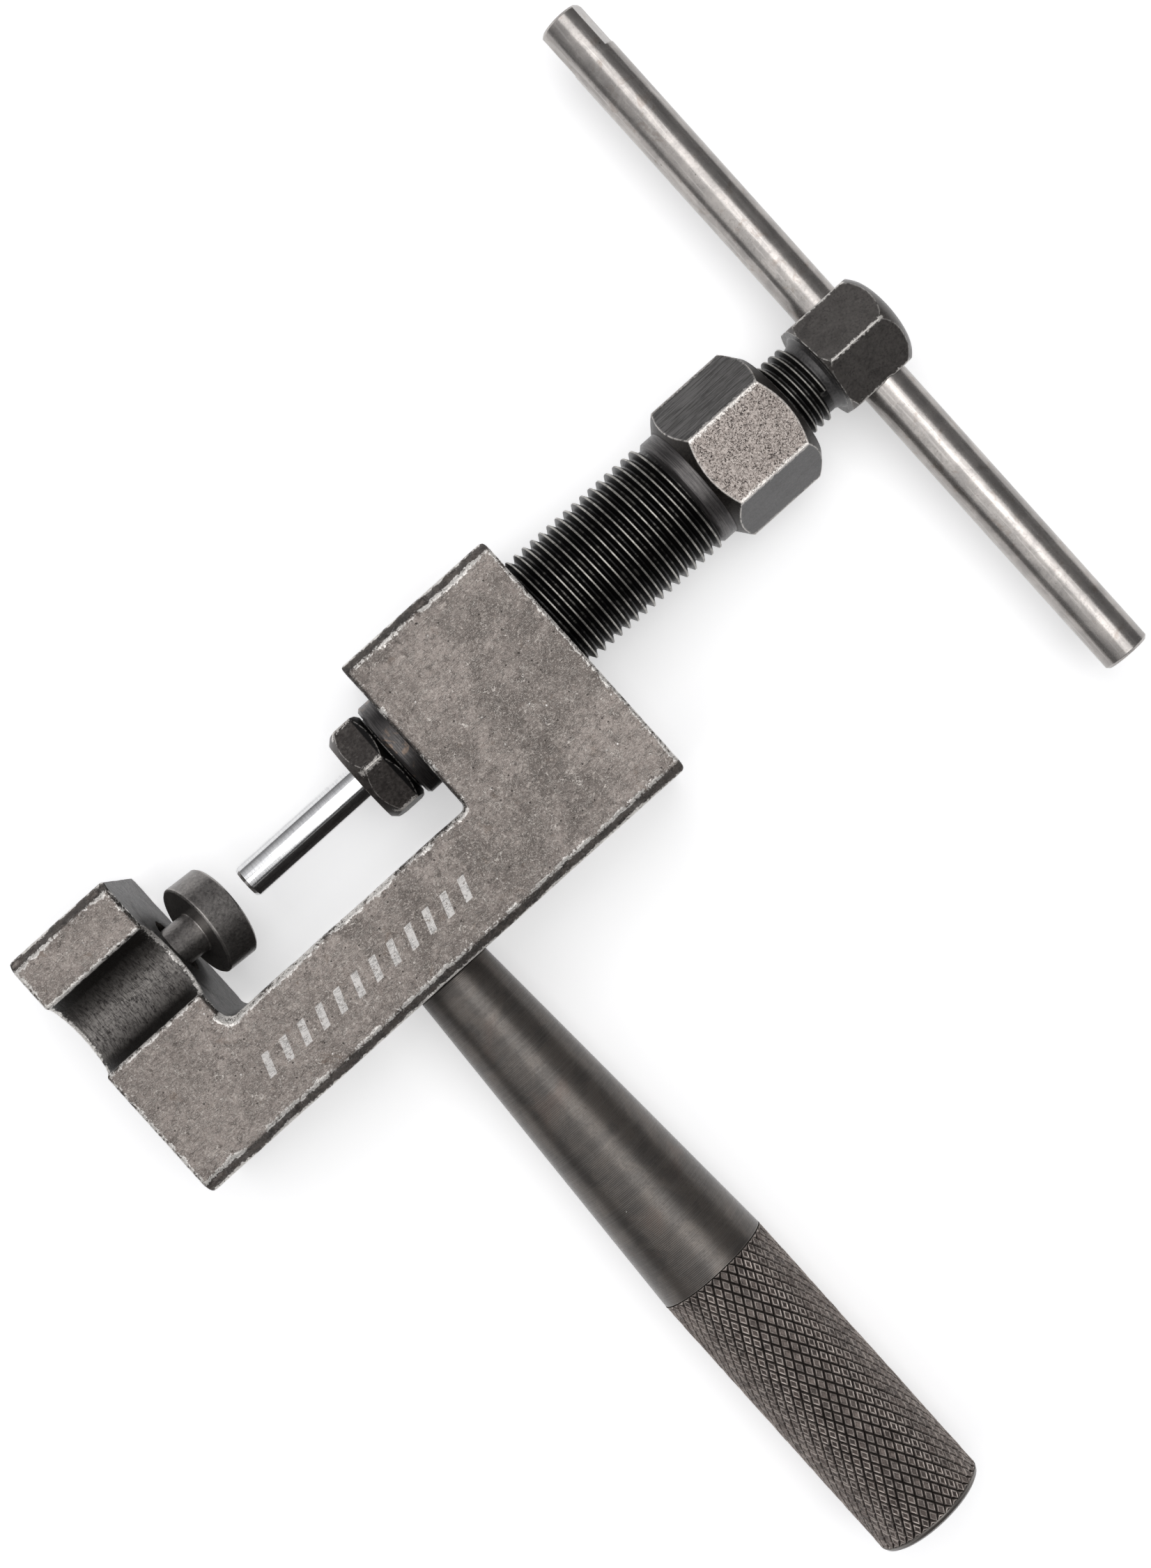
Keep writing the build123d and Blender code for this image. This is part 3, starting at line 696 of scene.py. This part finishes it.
def anvil_steel():
    g = Graph("anvil_oxide")
    fine = g.noise(2.6, 4.0, 0.7)
    base = g.mix(g.span(fine, 0.3, 0.7), rgb(108, 105, 103), rgb(140, 136, 133))
    base = smudge(g, base, rgb(84, 81, 79), 0.4)
    base = g.mix(g.product(g.scratches(0.7, 0.014, 0.5, 19), 0.5), base, rgb(170, 166, 162))
    base = g.mix(g.product(g.specks(1.4, 0.1, 0.7, 0), 0.8), base, rgb(186, 182, 178))
    edge = g.worn_edge(0.5, 0.006, 0.09)
    worn = g.product(edge, g.span(g.noise(1.0, 4.0, 0.7), 0.32, 0.56))
    base = g.mix(g.product(worn, 0.7), base, rgb(206, 201, 196))
    return g.finish(base, g.span(fine, 0.3, 0.7, 0.27, 0.38), 0.85, g.bump(fine, 0.02, g.rounded(0.25)))


def handle_steel():
    """Dark turned taper with fine feed rings, and knurls rubbed bright along their rims."""
    g = Graph("handle_oxide")
    rim = g.attribute("rim")
    fine = g.noise(2.6, 4.0, 0.7)
    cloud = g.noise(0.22, 3.0, 0.6, 0.7)
    turned = g.noise(4.7, 2.0, 0.5, 0.0, g.place(scale=(0.02, 1, 0.02)))
    ring = g.math("SINE", g.math("MULTIPLY", g.y, 2 * math.pi / 0.23))
    base = g.mix(g.span(cloud, 0.38, 0.66), rgb(80, 76, 73), rgb(96, 90, 85))
    base = g.mix(g.product(g.span(turned, 0.42, 0.66), 0.3), base, rgb(110, 106, 102))
    base = g.mix(g.product(g.span(ring, -0.2, 0.9), 0.22), base, rgb(60, 57, 55))
    base = g.mix(g.product(g.span(fine, 0.52, 0.7), 0.5), base, rgb(68, 64, 61))
    brown = g.span(g.noise(0.12, 3.0, 0.6, 0.6, g.place(move=(4, 2, 6))), 0.55, 0.7)
    base = g.mix(g.product(brown, 0.3), base, rgb(104, 88, 80))
    base = g.mix(g.specks(0.5, 0.06, 0.8, 0), base, rgb(190, 188, 184))
    off_axis = g.math("SUBTRACT", g.x, HANDLE_X)
    square = g.math("ADD", g.math("MULTIPLY", off_axis, off_axis), g.math("MULTIPLY", g.z, g.z))
    r = g.math("SQRT", square)
    knurl = g.product(g.span(g.y, -80.2, -80.3), g.span(g.y, -123.75, -123.6))
    groove = g.span(r, 8.2, 8.4, 1.0, 0.0)
    body = g.mix(g.span(g.noise(0.5, 3.0, 0.6), 0.35, 0.66), rgb(74, 67, 64), rgb(100, 90, 85))
    body = g.mix(groove, body, rgb(40, 36, 35))
    gleam = g.product(rim, g.span(g.noise(0.8, 3.0, 0.7), 0.34, 0.62, 0.25, 1.0))
    body = g.mix(gleam, body, rgb(190, 180, 173))
    base = g.mix(knurl, base, body)
    edge = g.product(g.worn_edge(0.35, 0.01, 0.08), g.math("SUBTRACT", 1.0, knurl))
    base = g.mix(g.product(edge, 0.5), base, rgb(150, 145, 140))
    rough = g.math("ADD", g.span(fine, 0.3, 0.7, 0.27, 0.37), g.product(knurl, 0.10))
    smooth_part = g.math("SUBTRACT", 1.0, knurl)
    height = g.math("ADD", g.product(fine, 0.4), g.product(ring, smooth_part, 0.35))
    height = g.math("ADD", height, g.product(turned, smooth_part, 0.12))
    return g.finish(base, rough, 0.6, g.bump(height, 0.012))


def bright_pin():
    g = Graph("ground_pin")
    line = g.noise(5.0, 3.0, 0.6, 0.0, g.place(scale=(1, 0.12, 0.12)))
    along = g.noise(2.0, 3.0, 0.6, 0.0, g.place(scale=(0.05, 1, 1)))
    base = g.mix(g.span(line, 0.35, 0.7), rgb(222, 222, 222), rgb(204, 204, 205))
    base = g.mix(g.product(g.span(along, 0.5, 0.66), 0.4), base, rgb(176, 176, 178))
    base = g.mix(g.specks(0.8, 0.05, 0.75, 0), base, rgb(60, 58, 56))
    rough = g.span(along, 0.3, 0.7, 0.09, 0.19)
    return g.finish(base, rough, 1.0, g.bump(line, 0.002))


def bar_steel():
    """Drawn bar: satin, slightly brown, with long soft streaks and faint mottling."""
    g = Graph("handled_bar")
    fine = g.noise(3.0, 4.0, 0.7)
    cloud = g.noise(0.3, 4.0, 0.6, 0.6)
    draw = g.noise(2.2, 3.0, 0.6, 0.0, g.place(scale=(1, 0.05, 1)))
    base = g.mix(g.span(cloud, 0.36, 0.66), rgb(152, 148, 145), rgb(172, 167, 163))
    base = g.mix(g.product(g.span(fine, 0.52, 0.72), 0.35), base, rgb(116, 110, 105))
    base = g.mix(g.product(g.span(draw, 0.5, 0.68), 0.4), base, rgb(200, 196, 192))
    brown = g.span(g.noise(0.5, 3.0, 0.6, 0.6, g.place(move=(4, 2, 6))), 0.56, 0.7)
    base = g.mix(g.product(brown, 0.35), base, rgb(128, 112, 100))
    base = g.mix(g.product(g.specks(0.5, 0.08, 0.7, 1), 0.7), base, rgb(70, 64, 60))
    edge = g.worn_edge(0.4, 0.006, 0.06)
    base = g.mix(g.product(edge, 0.5), base, rgb(210, 206, 202))
    rough = g.span(fine, 0.3, 0.7, 0.17, 0.28)
    height = g.math("ADD", g.product(fine, 0.5), g.product(draw, 0.5))
    return g.finish(base, rough, 0.8, g.bump(height, 0.006, g.rounded(0.2)))


def spring_wire():
    g = Graph("spring_wire")
    fine = g.noise(3.0, 3.0, 0.6)
    base = g.mix(g.span(fine, 0.35, 0.66), rgb(96, 95, 94), rgb(132, 130, 128))
    return g.finish(base, g.span(fine, 0.3, 0.7, 0.28, 0.4), 0.9, g.bump(fine, 0.01))


skin = worn_frame()
skin.data.materials.clear()
skin.data.materials.append(frame_steel())
grip = knurled_handle()
grip.data.materials.append(handle_steel())
dress("pressure_bolt", pressure_bolt_steel())
dress("drive_bolt", drive_bolt_steel())
dress("pin_guide_nut", guide_nut_steel())
dress("anvil", anvil_steel())
dress("handle_stud", guide_nut_steel())
coil = return_coil()
coil.data.materials.clear()
coil.data.materials.append(spring_wire())
dress("punch_pin", bright_pin())
dress("tommy_bar", bar_steel())

# ------------------------------------------------------------------ floor, light, camera
low, high = Vector(cad_box[0]), Vector(cad_box[1])
bpy.ops.mesh.primitive_plane_add(size=6.0, location=(0, 0, low.z - 0.0001))
floor = bpy.context.object
floor.name = "studio_floor"
g = Graph("pale_paper")
tone = g.noise(0.01, 2.0)
floor_mat = g.finish(g.mix(tone, (0.86, 0.86, 0.87, 1), (0.9, 0.9, 0.9, 1)), 0.75, 0.0)
g.bsdf.inputs["Emission Color"].default_value = (1, 1, 1, 1)
g.bsdf.inputs["Emission Strength"].default_value = 0.42
floor.data.materials.append(floor_mat)

right = Vector((0.7439778, -0.6680052, 0.0163130))
up = Vector((0.6678253, 0.7441563, 0.0155164))
back = Vector((-0.0225044, -0.00064967, 0.9997465))
eye = Vector((34.44, -19.90, 334.89)) * MM
camera_data = bpy.data.cameras.new("camera")
camera_data.sensor_width = 36.0
camera_data.lens = 3551.07 / 2251 * 36
camera_data.clip_start = 0.02
camera = bpy.data.objects.new("camera", camera_data)
axes = Matrix((right, up, back)).transposed()
camera.matrix_world = Matrix.Translation(eye) @ axes.to_4x4()
bpy.context.scene.collection.objects.link(camera)
bpy.context.scene.camera = camera


def softbox(name, place, aim, size_x, size_y, radiance):
    """A rectangular area light at place (m) that faces aim; radiance is what a mirror sees in it."""
    data = bpy.data.lights.new(name, "AREA")
    data.shape = "RECTANGLE"
    data.size = size_x
    data.size_y = size_y
    data.energy = radiance * math.pi * size_x * size_y
    light = bpy.data.objects.new(name, data)
    turn = (Vector(place) - Vector(aim)).to_track_quat("Z", "Y").to_matrix().to_4x4()
    light.matrix_world = Matrix.Translation(place) @ turn
    bpy.context.scene.collection.objects.link(light)
    return light


middle = Vector((0.06, -0.02, 0.0))
softbox("softbox_over", (0.165, 0.0, 0.70), (0.165, 0.0, 0.0), 0.45, 1.0, 1.9)
softbox("softbox_left", (-0.225, 0.0, 0.56), middle, 0.25, 1.0, 1.15)

# Outside the softboxes the room is bright overhead and towards +Y and dark on the other sides.
world = bpy.data.worlds.new("studio")
bpy.context.scene.world = world
world.use_nodes = True
tree = world.node_tree
coord = tree.nodes.new("ShaderNodeTexCoord")
side = tree.nodes.new("ShaderNodeVectorMath")
side.operation = "DOT_PRODUCT"
side.inputs[1].default_value = (-0.15, 0.55, 0.82)
tree.links.new(coord.outputs["Generated"], side.inputs[0])
ramp = tree.nodes.new("ShaderNodeValToRGB")
tree.links.new(side.outputs["Value"], ramp.inputs[0])
stops = ((0.0, 0.12), (0.28, 0.10), (0.45, 0.13), (0.65, 0.22), (0.8, 0.38), (0.95, 0.64), (1.0, 0.95))
while len(ramp.color_ramp.elements) < len(stops):
    ramp.color_ramp.elements.new(0.5)
for element, (at, level) in zip(ramp.color_ramp.elements, stops):
    element.position = at
    element.color = (level, level, level * 1.02, 1)
tree.links.new(ramp.outputs[0], tree.nodes["Background"].inputs["Color"])
tree.nodes["Background"].inputs["Strength"].default_value = 1.0
bpy.context.scene.view_settings.view_transform = "Standard"
bpy.context.scene.view_settings.look = "None"
